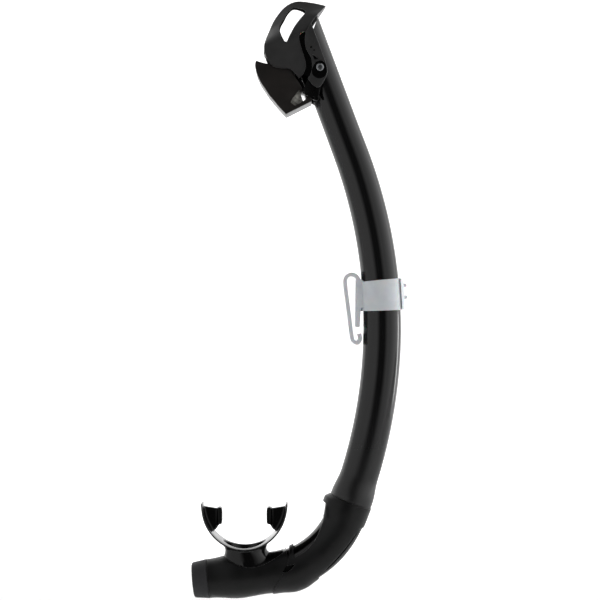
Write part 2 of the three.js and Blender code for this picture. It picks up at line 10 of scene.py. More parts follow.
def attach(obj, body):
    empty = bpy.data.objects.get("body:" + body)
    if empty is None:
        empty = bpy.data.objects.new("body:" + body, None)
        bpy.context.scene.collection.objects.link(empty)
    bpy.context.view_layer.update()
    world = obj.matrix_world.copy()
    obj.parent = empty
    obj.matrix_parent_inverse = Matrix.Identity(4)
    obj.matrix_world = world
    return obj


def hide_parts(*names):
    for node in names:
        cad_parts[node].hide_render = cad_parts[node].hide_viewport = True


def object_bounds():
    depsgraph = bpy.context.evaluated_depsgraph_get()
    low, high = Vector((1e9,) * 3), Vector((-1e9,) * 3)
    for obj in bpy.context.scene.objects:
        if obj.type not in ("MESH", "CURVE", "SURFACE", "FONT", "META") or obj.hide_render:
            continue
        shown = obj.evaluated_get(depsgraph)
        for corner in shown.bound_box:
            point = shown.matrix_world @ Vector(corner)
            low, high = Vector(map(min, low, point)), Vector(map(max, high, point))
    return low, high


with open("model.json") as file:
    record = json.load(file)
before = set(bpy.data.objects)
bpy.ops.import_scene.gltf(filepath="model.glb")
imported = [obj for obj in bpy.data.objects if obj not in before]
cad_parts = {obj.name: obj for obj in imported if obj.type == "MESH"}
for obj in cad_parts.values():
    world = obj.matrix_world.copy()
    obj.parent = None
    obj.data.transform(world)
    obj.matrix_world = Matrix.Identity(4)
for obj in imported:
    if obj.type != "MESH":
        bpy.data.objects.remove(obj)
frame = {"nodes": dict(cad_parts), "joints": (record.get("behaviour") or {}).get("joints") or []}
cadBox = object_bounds()
print("frame loaded")

# Pieces are modelled in millimetres and delivered in metres. x runs towards the back of the snorkel.
joint = {j["name"]: j for j in frame["joints"]}
bendCentre = Vector(joint["keeper_slide"]["pos_m"]) * 1000
pin = Vector(joint["float_swing"]["pos_m"]) * 1000
seam = Vector(joint["elbow_swivel"]["pos_m"]) * 1000
swivelAxis = Vector(joint["elbow_swivel"]["axis"])
flowAxis = Vector(joint["purge_flutter"]["axis"])
footLean = -math.atan2(swivelAxis.x, swivelAxis.z)
chamberLean = math.atan2(flowAxis.x, -flowAxis.z)
swing = math.radians(joint["float_swing"]["range_deg"][1])
barrelRadius = (seam - bendCentre).length
topLean = math.radians(20.56)     # the barrel runs straight on from where it leans this far
pinStation = 195.3                # along the barrel, from the level of its arc's centre to the float's pin


def ease(value, low, high):
    t = min(max((value - low) / (high - low), 0), 1)
    return t * t * (3 - 2 * t)


def spread(low, high, steps):
    return [low + (high - low) * i / steps for i in range(steps + 1)]


def stand(x, z, lean):
    # a place on a path in the XZ plane: local x points to the outside of the bend, local z along the tube
    return Matrix.Translation((x, 0, z)) @ Matrix.Rotation(-lean, 4, "Y")


def oval(a, b, shift=0):
    return Matrix.Translation((shift, 0, 0)) @ Matrix.Diagonal((a, b, 1, 1))


def barrelAt(station):
    lean = min(station / barrelRadius, topLean)
    beyond = max(0, station - topLean * barrelRadius)
    x = bendCentre.x + barrelRadius * math.cos(lean) - beyond * math.sin(lean)
    z = bendCentre.z + barrelRadius * math.sin(lean) + beyond * math.cos(lean)
    return stand(x, z, lean)


bend = {"lead": 11.7, "radius": 65}
bendLength = bend["radius"] * (footLean - chamberLean)


def elbowAt(station):
    # stations run down from the seam
    lead = min(station, bend["lead"])
    turned = min(max(station - bend["lead"], 0), bendLength) / bend["radius"]
    beyond = max(0, station - bend["lead"] - bendLength)
    lean = footLean - turned
    x = seam.x + lead * math.sin(footLean) + bend["radius"] * (math.cos(lean) - math.cos(footLean))
    z = seam.z - lead * math.cos(footLean) + bend["radius"] * (math.sin(lean) - math.sin(footLean))
    return stand(x + beyond * math.sin(lean), z - beyond * math.cos(lean), lean)


headPlace = Matrix.Translation(pin) @ Matrix.Rotation(-topLean, 4, "Y")
print("paths ready")


def makePart(name, bm):
    bmesh.ops.recalc_face_normals(bm, faces=bm.faces)
    mesh = bpy.data.meshes.new(name)
    bm.to_mesh(mesh)
    bm.free()
    piece = bpy.data.objects.new(name, mesh)
    bpy.context.scene.collection.objects.link(piece)
    return piece


def settle(piece):
    # bakes a piece's modifiers into its mesh
    graph = bpy.context.evaluated_depsgraph_get()
    baked = bpy.data.meshes.new_from_object(piece.evaluated_get(graph))
    old = piece.data
    piece.modifiers.clear()
    piece.data = baked
    bpy.data.meshes.remove(old)
    return piece


def modify(piece, kind, **settings):
    step = piece.modifiers.new(kind.lower(), kind)
    for key, value in settings.items():
        setattr(step, key, value)
    return settle(piece)


def combine(piece, other, operation):
    modify(piece, "BOOLEAN", object=other, operation=operation, solver="MANIFOLD")
    bpy.data.objects.remove(other)
    return piece


def cut(piece, *cutters):
    for cutter in cutters:
        combine(piece, cutter, "DIFFERENCE")
    return piece


def join(piece, *others):
    for other in others:
        combine(piece, other, "UNION")
    return piece


def roundEdges(piece, width, segments=3, angle=35):
    return modify(piece, "BEVEL", width=width, segments=segments, profile=0.5, limit_method="ANGLE",
                  angle_limit=math.radians(angle), use_clamp_overlap=True, miter_outer="MITER_ARC")


def thicken(piece, wall):
    return modify(piece, "SOLIDIFY", thickness=wall, offset=-1, use_even_offset=True)


def remesh(piece, size=0.55, smoothing=6, factor=0.5):
    # welds a joined shape into one skin and eases its corners, as a moulding's are
    modify(piece, "REMESH", mode="VOXEL", voxel_size=size)
    return modify(piece, "SMOOTH", factor=factor, iterations=smoothing)


def deliver(piece, finish, body, nodes=(), place=None, crease=34):
    # puts a finished piece in the row's frame, in metres
    piece.data.transform(Matrix.Scale(0.001, 4) @ (place or Matrix.Identity(4)))
    piece.data.materials.clear()
    piece.data.materials.append(finish)
    piece.data.shade_smooth()
    piece.data.set_sharp_from_angle(angle=math.radians(crease))
    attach(piece, body)
    if nodes:
        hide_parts(*nodes)
    print("made", piece.name, len(piece.data.polygons))
    return piece


def sweepTube(stations, place, sides=72, squareness=2, caps=False):
    # a ring carried from station to station, each one extruded from the last
    bm = bmesh.new()
    ring = bmesh.ops.create_circle(bm, radius=1, segments=sides, cap_ends=caps)["verts"]
    for v in ring:
        v.co.x = math.copysign(abs(v.co.x) ** (2 / squareness), v.co.x)
        v.co.y = math.copysign(abs(v.co.y) ** (2 / squareness), v.co.y)
    edges = list(bm.edges)
    was = place(stations[0])
    bmesh.ops.transform(bm, matrix=was, verts=ring)
    for station in stations[1:]:
        now = place(station)
        grown = bmesh.ops.extrude_edge_only(bm, edges=edges)["geom"]
        ring = [g for g in grown if isinstance(g, bmesh.types.BMVert)]
        inRing = set(ring)
        edges = [e for e in {e for v in ring for e in v.link_edges} if set(e.verts) <= inRing]
        bmesh.ops.transform(bm, matrix=now @ was.inverted(), verts=ring)
        was = now
    if caps:
        bmesh.ops.holes_fill(bm, edges=edges)
    return bm


def smoothLine(points, steps=5):
    # a curve through given points
    line = [Vector((p[0], p[1], 0)) for p in points]
    out = []
    for i in range(len(line) - 1):
        before = line[max(i - 1, 0)]
        after = line[min(i + 2, len(line) - 1)]
        reachA = line[i] + (line[i + 1] - before) / 6
        reachB = line[i + 1] - (after - line[i]) / 6
        run = interpolate_bezier(line[i], reachA, reachB, line[i + 1], steps + 1)
        out += [(v.x, v.y) for v in run[:-1]]
    return out + [(line[-1].x, line[-1].y)]


def plateMesh(points, nearY, farY):
    # a side profile made solid between two depths
    bm = bmesh.new()
    face = bm.faces.new([bm.verts.new((x, nearY, z)) for x, z in points])
    grown = bmesh.ops.extrude_face_region(bm, geom=[face])["geom"]
    moved = [g for g in grown if isinstance(g, bmesh.types.BMVert)]
    bmesh.ops.translate(bm, vec=(0, farY - nearY, 0), verts=moved)
    return bm


def plate(name, points, nearY, farY, rounding=0, segments=3):
    piece = makePart(name, plateMesh(points, nearY, farY))
    return roundEdges(piece, rounding, segments, 50) if rounding else piece


def mirrorPair(name, points, innerY, outerY, rounding=0):
    near = plate(name, points, -outerY, -innerY, rounding)
    far = plate(name + "Far", points, innerY, outerY, rounding)
    return join(near, far)


def post(name, radius, x, z, nearY, farY, rounding=0):
    # a cylinder across the snorkel
    bm = bmesh.new()
    turn = Matrix.Translation((x, (nearY + farY) / 2, z)) @ Matrix.Rotation(math.pi / 2, 4, "X")
    bmesh.ops.create_cone(bm, cap_ends=True, segments=48, radius1=radius, radius2=radius,
                          depth=farY - nearY, matrix=turn)
    piece = makePart(name, bm)
    return roundEdges(piece, rounding, 3, 50) if rounding else piece


def block(name, size, place, rounding=0):
    bm = bmesh.new()
    bmesh.ops.create_cube(bm, size=1, matrix=place @ Matrix.Diagonal((*size, 1)))
    piece = makePart(name, bm)
    return roundEdges(piece, rounding, 3, 50) if rounding else piece


def turnedPart(name, profile, sides=72):
    # a closed or axis-to-axis profile of (radius, height) points spun about z
    bm = bmesh.new()
    verts = [bm.verts.new((r, 0, h)) for r, h in profile]
    edges = [bm.edges.new(pair) for pair in zip(verts, verts[1:])]
    bmesh.ops.spin(bm, geom=verts + edges, cent=(0, 0, 0), axis=(0, 0, 1), angle=2 * math.pi,
                   steps=sides, use_merge=True)
    bmesh.ops.remove_doubles(bm, verts=bm.verts, dist=0.0005)
    return makePart(name, bm)


def linear(hexColour):
    parts = [int(hexColour[i:i + 2], 16) / 255 for i in (1, 3, 5)]
    return (*[p / 12.92 if p <= 0.04045 else ((p + 0.055) / 1.055) ** 2.4 for p in parts], 1)


def add(tree, kind, inputs=None, **settings):
    node = tree.nodes.new("ShaderNode" + kind)
    for key, value in settings.items():
        setattr(node, key, value)
    for socket, value in (inputs or {}).items():
        if isinstance(value, bpy.types.NodeSocket):
            tree.links.new(value, node.inputs[socket])
        else:
            node.inputs[socket].default_value = value
    return node


def perMetre(millimetres):
    return 1000 / millimetres


def newFinish(name, **shader):
    finish = bpy.data.materials.new(name)
    finish.use_nodes = True
    tree = finish.node_tree
    surface = tree.nodes["Principled BSDF"]
    for socket, value in shader.items():
        surface.inputs[socket.replace("_", " ")].default_value = value
    where = add(tree, "TexCoord").outputs["Object"]
    return finish, tree, surface, where


def grain(tree, where, size, detail=3, roughness=0.5):
    return add(tree, "TexNoise", {"Vector": where, "Scale": perMetre(size), "Detail": detail,
                                  "Roughness": roughness}).outputs["Fac"]


def ramp(tree, value, low, high, fromValue=0.3, toValue=0.7):
    return add(tree, "MapRange", {"Value": value, "From Min": fromValue, "From Max": toValue,
                                  "To Min": low, "To Max": high}).outputs["Result"]


def blendColours(tree, value, first, second):
    mix = add(tree, "Mix", data_type="RGBA")
    tree.links.new(value, mix.inputs["Factor"])
    mix.inputs["A"].default_value = linear(first)
    mix.inputs["B"].default_value = linear(second)
    return mix.outputs["Result"]


def bump(tree, height, distance, strength=1.0, below=None):
    inputs = {"Height": height, "Distance": distance / 1000, "Strength": strength}
    if below is not None:
        inputs["Normal"] = below
    return add(tree, "Bump", inputs).outputs["Normal"]


def extrudedPvc():
    # PVC barrel, drawn and flame-polished: deep gloss above, blasted satin towards the foot
    finish, tree, surface, where = newFinish("extrudedPvcBarrel", IOR=1.53)
    height = add(tree, "SeparateXYZ", {"Vector": where}).outputs["Z"]
    satin = ramp(tree, height, 1, 0, -0.135, -0.05)
    cloud = ramp(tree, grain(tree, where, 14, 4), 0, 1)
    fine = grain(tree, where, 0.5, 2)
    scuff = add(tree, "Mapping", {"Vector": where, "Scale": (1, 1, 0.06)}).outputs["Vector"]
    streak = ramp(tree, grain(tree, scuff, 1.2, 2), 0, 1, 0.55, 0.8)
    gloss = ramp(tree, satin, 0.11, 0.37, 0, 1)
    worn = add(tree, "Math", {0: streak, 1: 0.05, 2: gloss}, operation="MULTIPLY_ADD").outputs[0]
    tree.links.new(worn, surface.inputs["Roughness"])
    tint = ramp(tree, cloud, 0.35, 0.65, 0, 1)
    shade = add(tree, "Math", {0: satin, 1: 0.35, 2: tint}, operation="MULTIPLY_ADD").outputs[0]
    tree.links.new(blendColours(tree, shade, "#040405", "#0f0f10"), surface.inputs["Base Color"])
    waves = bump(tree, grain(tree, where, 9, 1), 0.05, 0.35)
    tree.links.new(bump(tree, fine, 0.012, 0.5, waves), surface.inputs["Normal"])
    return finish


def erodedPlastic(name, dark, light, rough=0.55, grit=0.45, sheen=0.3, bloom=0.0):
    # plastic from a spark-eroded mould: an even fine grit, in millimetres, that keeps the light soft
    finish, tree, surface, where = newFinish(name, IOR=1.5, Specular_IOR_Level=sheen, Sheen_Weight=bloom,
                                             Sheen_Roughness=0.35)
    speck = grain(tree, where, grit, 3, 0.6)
    cloud = grain(tree, where, 11, 3)
    mixed = add(tree, "Math", {0: speck, 1: 0.45, 2: ramp(tree, cloud, -0.05, 0.55)},
                operation="MULTIPLY_ADD").outputs[0]
    tree.links.new(blendColours(tree, mixed, dark, light), surface.inputs["Base Color"])
    tree.links.new(ramp(tree, cloud, rough - 0.06, rough + 0.08), surface.inputs["Roughness"])
    tree.links.new(bump(tree, speck, 0.05, 0.55), surface.inputs["Normal"])
    return finish


def polishedSilicone():
    # liquid silicone rubber from a polished mould: wet-looking black with slow ripples and dust
    finish, tree, surface, where = newFinish("polishedSilicone", IOR=1.43)
    dust = ramp(tree, grain(tree, where, 0.9, 4, 0.7), 0, 1, 0.58, 0.8)
    tree.links.new(blendColours(tree, dust, "#040404", "#101011"), surface.inputs["Base Color"])
    tree.links.new(ramp(tree, grain(tree, where, 6, 3), 0.07, 0.17), surface.inputs["Roughness"])
    ripple = bump(tree, grain(tree, where, 5, 1), 0.12, 0.3)
    tree.links.new(bump(tree, dust, 0.01, 0.4, ripple), surface.inputs["Normal"])
    return finish


def mouldedPolypropylene():
    # semi-gloss polypropylene float: black-brown, faint flow marks from the gate
    finish, tree, surface, where = newFinish("mouldedPolypropylene", IOR=1.49)
    stretched = add(tree, "Mapping", {"Vector": where, "Scale": (0.35, 1, 1)}).outputs["Vector"]
    flow = grain(tree, stretched, 7, 3)
    tree.links.new(blendColours(tree, ramp(tree, flow, 0, 1), "#1d1a18", "#25211f"),
                   surface.inputs["Base Color"])
    tree.links.new(ramp(tree, flow, 0.3, 0.36), surface.inputs["Roughness"])
    tree.links.new(bump(tree, grain(tree, where, 0.7, 2), 0.015, 0.4), surface.inputs["Normal"])
    return finish


def palePolyethylene():
    # soft polyethylene keeper: milky pale grey that glows a little at thin edges
    finish, tree, surface, where = newFinish("palePolyethylene", IOR=1.51, Subsurface_Weight=0.25,
                                             Subsurface_Scale=0.002)
    cloud = grain(tree, where, 6, 3)
    tree.links.new(blendColours(tree, ramp(tree, cloud, 0, 1), "#e2e7ec", "#ecf0f3"),
                   surface.inputs["Base Color"])
    tree.links.new(ramp(tree, grain(tree, where, 2.5, 3), 0.33, 0.48), surface.inputs["Roughness"])
    tree.links.new(bump(tree, grain(tree, where, 0.6, 3), 0.02, 0.5), surface.inputs["Normal"])
    return finish


def naturalSilicone():
    # uncoloured silicone seal: milky beige, lets light through
    finish, tree, surface, where = newFinish("naturalSilicone", IOR=1.41, Subsurface_Weight=0.6,
                                             Subsurface_Scale=0.003)
    tree.links.new(blendColours(tree, ramp(tree, grain(tree, where, 4, 3), 0, 1), "#d8c4a2", "#ecdcc4"),
                   surface.inputs["Base Color"])
    tree.links.new(ramp(tree, grain(tree, where, 1, 3), 0.32, 0.5), surface.inputs["Roughness"])
    return finish


def closedCellFoam():
    # cut closed-cell foam: grey, its burst cells a little under a millimetre across
    finish, tree, surface, where = newFinish("closedCellFoam", Roughness=0.92)
    cells = add(tree, "TexVoronoi", {"Vector": where, "Scale": perMetre(0.9)}).outputs["Distance"]
    mottled = grain(tree, where, 3, 4, 0.7)
    tree.links.new(blendColours(tree, ramp(tree, mottled, 0, 1, 0.35, 0.65), "#5d5c58", "#b9b7b0"),
                   surface.inputs["Base Color"])
    tree.links.new(bump(tree, cells, 0.25, 0.9), surface.inputs["Normal"])
    return finish


def turnedSteel():
    # stainless pin, turned and tumbled: fine even wear
    finish, tree, surface, where = newFinish("turnedStainless", Metallic=1.0)
    wear = grain(tree, where, 0.35, 3, 0.6)
    tree.links.new(blendColours(tree, wear, "#8f9295", "#c9cbcd"), surface.inputs["Base Color"])
    tree.links.new(ramp(tree, wear, 0.22, 0.4), surface.inputs["Roughness"])
    return finish


def nitrileRubber():
    # nitrile O-ring: dull black with a moulding bloom
    finish, tree, surface, where = newFinish("nitrileRubber", IOR=1.52)
    tree.links.new(blendColours(tree, grain(tree, where, 2, 3), "#101010", "#222222"),
                   surface.inputs["Base Color"])
    tree.links.new(ramp(tree, grain(tree, where, 0.8, 3), 0.55, 0.75), surface.inputs["Roughness"])
    return finish


barrelFinish = extrudedPvc()
headFinish = erodedPlastic("satinAbsHead", "#2a2a2a", "#373737", rough=0.4, grit=0.5, sheen=0.45,
                           bloom=0.15)
# painted shade: near-black ABS for the head's inner faces and the float lever, standing in for the deep
# shadow they sit in
paintedShadeFinish = erodedPlastic("paintedShadeAbsInside", "#030303", "#090909", rough=0.24, grit=0.8, sheen=0.2)
shellFinish = erodedPlastic("erodedNylonShell", "#040404", "#0b0b0c", rough=0.38, sheen=0.28,
                            bloom=0.15)
capFinish = erodedPlastic("erodedNylonCap", "#272729", "#39393b", rough=0.55)
ringFinish = erodedPlastic("mouldedAcetal", "#141415", "#222223", rough=0.4)
siliconeFinish = polishedSilicone()
floatFinish = mouldedPolypropylene()
keeperFinish = palePolyethylene()
sealFinish = naturalSilicone()
foamFinish = closedCellFoam()
pinFinish = turnedSteel()
rubberFinish = nitrileRubber()
print("materials ready")


barrelSize = {"top": 12.7, "bottom": 14, "flatter": 1.7, "taper": (-3, 150), "wall": 1.9,
              "seam": 15.75, "flare": (-128, -110), "mouthSlope": 50, "mouthMiddle": (0.2, 22), "rise": 44,
              "fine": -104, "lip": 0.35}
mouthSlope = math.radians(barrelSize["mouthSlope"])
mouthMiddle = Vector((barrelSize["mouthMiddle"][0], 0, barrelSize["mouthMiddle"][1]))
mouthNormal = Vector((-math.sin(mouthSlope), 0, math.cos(mouthSlope)))


def barrelPlace(station):
    low, high = barrelSize["taper"]
    grown = min(max((high - station) / (high - low), 0), 1)
    a = barrelSize["top"] + grown * (barrelSize["bottom"] - barrelSize["top"])
    flare = 1 - ease(station, *barrelSize["flare"])
    b = a - barrelSize["flatter"]
    wide = barrelSize["seam"]
    return barrelAt(station) @ oval(a + flare * (wide - a), b + flare * (wide - b))


def mouthBlock(offset, place=Matrix.Identity(4)):
    # everything above the slanting mouth of the barrel
    turn = place @ Matrix.Translation(mouthMiddle) @ Matrix.Rotation(-mouthSlope, 4, "Y")
    return block("mouthBlock", (120, 120, 100), turn @ Matrix.Translation((0, 0, 50 + offset)))


def makeBarrel():
    foot = footLean * barrelRadius
    fine = barrelSize["fine"]
    stations = spread(foot, fine, 18) + spread(fine, topLean * barrelRadius, 70)[1:]
    stations += spread(topLean * barrelRadius, pinStation + barrelSize["rise"], 20)[1:]
    tube = thicken(makePart("barrelTube", sweepTube(stations, barrelPlace, sides=96)), barrelSize["wall"])
    cut(tube, mouthBlock(0, headPlace))
    roundEdges(tube, barrelSize["lip"], 3, 55)
    deliver(tube, barrelFinish, "barrel", ["barrel"])


makeBarrel()


keeperSize = {"foot": 12, "top": 34.4, "a": 14.35, "b": 12.65, "wall": 1.3, "strip": 2.8, "half": 7,
              "overlap": 1.5, "overlapSide": 0.7, "wrapFront": 14.4, "pegs": (6.2, -2.6), "pegRadius": 1.45,
              "pegLength": 4.6, "legClear": 0.4}


def stripOutline(points, thickness):
    # a strip of even thickness along a line
    line = smoothLine(points, 6)
    left, right = [], []
    for i, here in enumerate(line):
        before = Vector(line[max(i - 1, 0)])
        along = (Vector(line[min(i + 1, len(line) - 1)]) - before).normalized()
        side = Vector((-along.y, along.x)) * thickness / 2
        left.append((here[0] + side.x, here[1] + side.y))
        right.append((here[0] - side.x, here[1] - side.y))
    return left + right[::-1]


def makeKeeper():
    k = keeperSize
    middle = (k["foot"] + k["top"]) / 2

    def bandRing(name, a, b, wall, foot, top):
        ring = sweepTube(spread(foot, top, 8), lambda s: barrelAt(s) @ oval(a, b), sides=96)
        return thicken(makePart(name, ring), wall)

    band = bandRing("keeperClip", k["a"] + k["wall"], k["b"] + k["wall"], k["wall"], k["foot"], k["top"])
    roundEdges(band, 0.4, 3, 55)
    wrap = bandRing("wrap", k["a"] + k["wall"] + k["overlap"], k["b"] + k["wall"] + k["overlapSide"],
                    k["overlap"] + 0.4, k["foot"] + 0.2, k["top"] - 0.2)
    front = block("front", (40, 60, 60), barrelAt(middle) @ Matrix.Translation((-20 + k["wrapFront"], 0, 0)))
    roundEdges(cut(wrap, front), 0.45, 3, 50)
    leg = [(-1, -14.4), (-0.6, -14.9), (1.7, -14.9), (2.1, -14.4), (2.9, -1), (5.5, 0), (5.5, 18), (3.6, 20),
           (-0.8, 20)]
    leg = plate("leg", leg, -k["half"], k["half"], 0.35)
    line = [(2, 18.6), (-0.6, 22.5), (-4.6, 23.6), (-8, 21), (-8.3, 15), (-5.9, -4), (-3.6, -22),
            (-2, -25.5), (0.6, -26.3), (2.4, -23.8), (1.9, -19.8)]
    hook = plate("hook", stripOutline(line, k["strip"]), -k["half"], k["half"], 0.45)
    clear = oval(k["a"] + k["legClear"], k["b"] + k["legClear"])
    bore = sweepTube(spread(k["foot"] - 3, k["top"] + 3, 6), lambda s: barrelAt(s) @ clear, caps=True)
    cut(join(leg, hook), makePart("bore", bore))
    join(band, wrap, leg)
    for height in k["pegs"]:
        bm = bmesh.new()
        root = barrelAt(middle) @ Matrix.Translation((k["a"] + 2.4, 0, height))
        bmesh.ops.create_cone(bm, cap_ends=True, segments=32, radius1=k["pegRadius"],
                              radius2=k["pegRadius"] - 0.1, depth=k["pegLength"],
                              matrix=root @ Matrix.Rotation(math.pi / 2, 4, "Y"))
        join(band, roundEdges(makePart("peg", bm), 0.4, 3, 50))
    deliver(band, keeperFinish, "keeper", ["strap_keeper"])


makeKeeper()
print("barrel and keeper done")


# The head and the float are modelled upright about the float's pin; headPlace leans them with the barrel.
headSize = {"saddle": 1.6, "gap": 0.3, "foot": -17, "back": 5.3, "armIn": 13.3, "armOut": 14.9,
            "cheekIn": 15.2, "cheekOut": 17, "boss": 4.4, "recess": 4.8, "recessDepth": 1.4,
            "crescent": (5.5, -1.4, -2.4), "bore": 1.8, "pipDepth": 1.3, "notchDepth": 1.5, "screenIn": 11.3,
            "paintedShadeWithin": 15.9}


def makeHeadBody():
    h = headSize
    a = barrelSize["top"] + h["gap"] + h["saddle"]
    b = barrelSize["top"] - barrelSize["flatter"] + h["gap"] + h["saddle"]
    ring = sweepTube(spread(h["foot"], 44, 30), lambda s: Matrix.Translation((0, 0, s)) @ oval(a, b),
                     sides=96)
    saddle = thicken(makePart("headSaddle", ring), h["saddle"])
    heel = smoothLine([(-8.8, h["foot"]), (-4, -13.4), (2.2, -6.5), (4.6, -1), (h["back"], 5)], 5)
    flank = plate("flank", heel + [(h["back"], 44), (-20, 44), (-20, h["foot"])], -20, 20)
    combine(saddle, flank, "INTERSECT")
    cut(saddle, mouthBlock(-0.5))
    front = smoothLine([(-0.6, 27.5), (-2.6, 24.2), (-3.8, 20.8), (-4.7, 15.3), (-3.7, 8.5), (-5.3, 2.1)], 5)
    hollow = smoothLine([(-5.3, 2.1), (-8.2, -2.3), (-11.2, -4.6)], 4)[1:]
    shield = [(-11.2, -4.6), (-9.4, -10), (-6.1, -13.4), (-1, -10.6), (4.1, -4.9), (5.3, 2.4)]
    cheek = front + hollow + smoothLine(shield, 5)[1:] + [(h["back"], 32.4), (2.6, 30.4)]
    cheeks = mirrorPair("cheeks", cheek, h["cheekIn"], h["cheekOut"], 0.4)
    inset = h["back"] - 0.1
    web = [(-2.6, 10), (-2.6, 21), (-0.3, 24.4), (inset, 29.6), (inset, 7.2), (0, 7.2)]
    webs = mirrorPair("webs", web, b - h["saddle"] + 0.2, h["cheekIn"] + 0.5)
    screen = [(-12.5, -1), (-9, -3), (-2, -3), (inset, 8), (inset, 29.5), (-4, 28.1), (-12.5, 23.8)]
    body = join(saddle, cheeks, webs, mirrorPair("screens", screen, h["screenIn"], b))
    for side in (-1, 1):
        ends = sorted((side * (h["cheekOut"] - h["recessDepth"]), side * 20))
        cut(body, post("recess", h["recess"], 0, 0, *ends), post("crescent", *h["crescent"], *ends))
    notch = smoothLine([(-2.1, 10.7), (-0.4, 8.4), (1.4, 5.8)], 3) + [(-1.8, 6.3)]
    cut(body, post("bore", h["bore"], 0, 0, -22, 22),
        mirrorPair("notch", notch, h["cheekOut"] - h["notchDepth"], 20))
    floor = h["cheekOut"] - h["pipDepth"]
    for x, z, radius in ((-1, 15.8, 0.75), (0.4, 13, 0.6)):
        cut(body, post("pip", radius, x, z, -20, -floor), post("pip", radius, x, z, floor, 20))
    deliver(body, headFinish, "barrel", ["head_body"], headPlace)
    body.data.materials.append(paintedShadeFinish)     # inside: polished, and near-black as painted shade for the shadow in the head's gaps; satin on the cheeks' outer faces
    for face in body.data.polygons:
        if abs(face.center.y) < h["paintedShadeWithin"] / 1000:
            face.material_index = 1


makeHeadBody()

hoodSize = {"wall": 1.6, "outer": 15.2, "drawIn": 8.6, "drawFrom": (27, 60), "edge": 3, "tongue": 10.4,
            "nose": 7.5, "blend": 10, "tip": 0.2, "ridge": 0.72, "noseCurve": 0.85, "rollFrom": (28, 42)}
# the hood's side profile, in four runs, and its window
crown = [(20.8, 42.3), (16.3, 45.5), (11.4, 48.5), (6.4, 51.2), (1.7, 53), (-3, 53.3), (-8.3, 52),
         (-14.3, 48.8), (-20.1, 44.4), (-26.7, 37.3), (-31.6, 30.7)]
lobeFoot = [(-31.6, 30.7), (-33.2, 27.2), (-33.9, 22.6), (-33.3, 17.4), (-31.2, 12.2), (-26.7, 9.4),
            (-20.9, 6.6), (-18.7, 2.6), (-17.2, -2)]
lobeBack = [(-17.2, -2), (-13, -0.2), (-9.4, 3.9), (-8.1, 8.6), (-7.7, 14.6), (-7.2, 21.4), (-6.4, 25.9),
            (-4.6, 28.2), (-2.8, 28.6), (-0.9, 27.6)]
strut = [(-0.9, 27.6), (-0.3, 27.2), (2.8, 30.4), (10.4, 36), (16.5, 39.7), (20.8, 42.3)]
windowTop = [(-17.2, 26.5), (-17.9, 31.5), (-17.4, 37), (-15.6, 40.4), (-11.2, 44.1), (-7.9, 46.9),
             (-3.4, 49), (0, 48.2), (3.7, 45.4), (4.9, 43.4), (4.2, 41.7)]
windowFoot = [(4.2, 41.7), (1.7, 40.2), (-2.3, 37.7), (-6.2, 35.1), (-9.7, 32.1), (-13.4, 28.7),
              (-15.9, 26)]


def hoodHalfWidth(height):
    # the hood is as wide as its lobes below and draws in towards the crown
    return hoodSize["outer"] - hoodSize["drawIn"] * ease(height, *hoodSize["drawFrom"])


def hoodBlock(name, outline, roof, inset, edge):
    # a side profile drawn in towards the crown, its roof edges rolled over
    wide = hoodSize["outer"] - inset
    bm = plateMesh(outline, -wide, wide)
    onRoof = {(round(x, 3), round(z, 3)) for x, z in roof}
    rim = [e for e in bm.edges if abs(e.verts[0].co.y - e.verts[1].co.y) < 1e-6
           and all((round(v.co.x, 3), round(v.co.z, 3)) in onRoof for v in e.verts)]
    bmesh.ops.bevel(bm, geom=rim, affect="EDGES", offset=edge, offset_type="OFFSET", segments=8,
                    profile=0.5, material=-1, clamp_overlap=True)
    for height in spread(0, 52, 26):
        geometry = bm.verts[:] + bm.edges[:] + bm.faces[:]
        bmesh.ops.bisect_plane(bm, geom=geometry, plane_co=(0, 0, height), plane_no=(0, 0, 1))
    for v in bm.verts:
        v.co.y *= (hoodHalfWidth(v.co.z) - inset) / wide
    bmesh.ops.triangulate(bm, faces=[f for f in bm.faces if len(f.verts) > 4])
    return makePart(name, bm)


def rollOver(piece, roof):
    # draws the sides in towards the roof line: a sloping nose, a ridge, then the flat side
    h = hoodSize
    near = KDTree(len(roof))
    for i, (x, z) in enumerate(roof):
        near.insert((x, 0, z), i)
    near.balance()
    for v in piece.data.vertices:
        away = near.find((v.co.x, 0, v.co.z))[2]
        flat = 1 - min(max(away - h["nose"], 0) / h["blend"], 1)
        slope = min(away / h["nose"], 1) ** h["noseCurve"]
        narrow = h["tip"] + (h["ridge"] - h["tip"]) * slope + (1 - h["ridge"]) * (1 - flat * flat)
        v.co.y *= 1 + (narrow - 1) * ease(v.co.z, *h["rollFrom"])


def makeHood():
    h = hoodSize
    roof = smoothLine(crown, 4)
    outline = roof + smoothLine(lobeFoot, 5)[1:] + smoothLine(lobeBack, 5)[1:]
    outline += smoothLine(strut, 4)[1:-1]
    hood = hoodBlock("splashHood", outline, roof, 0, h["edge"])
    window = smoothLine(windowTop, 5) + smoothLine(windowFoot, 4)[1:]
    cut(hood, plate("window", window, -20, 20))
    heart = Vector((-6, 22))     # the lining is the roof line drawn in towards this point
    lining = []
    for point in roof[4:]:
        reach = Vector(point) - heart
        lining.append(tuple(heart + reach * (1 - h["wall"] * 1.15 / reach.length)))
    below = [(-36, 30), (-36, -20), (12, -20), (12, 44)]
    cut(hood, hoodBlock("lining", lining + below, lining, h["wall"], h["edge"] - h["wall"]))
    tongue = smoothLine([(-26.7, 37.3), (-31.6, 30.7), (-34.6, 24.2)], 5)
    tongue += smoothLine([(-33.1, 23.5), (-30.2, 29.8), (-25.2, 36)], 5)
    join(hood, plate("tongue", tongue, -h["tongue"], h["tongue"], 0.4))
    remesh(hood, 0.4, 2)
    rollOver(hood, smoothLine(crown, 16))
    deliver(hood, headFinish, "barrel", ["splash_hood"], headPlace, crease=30)


makeHood()


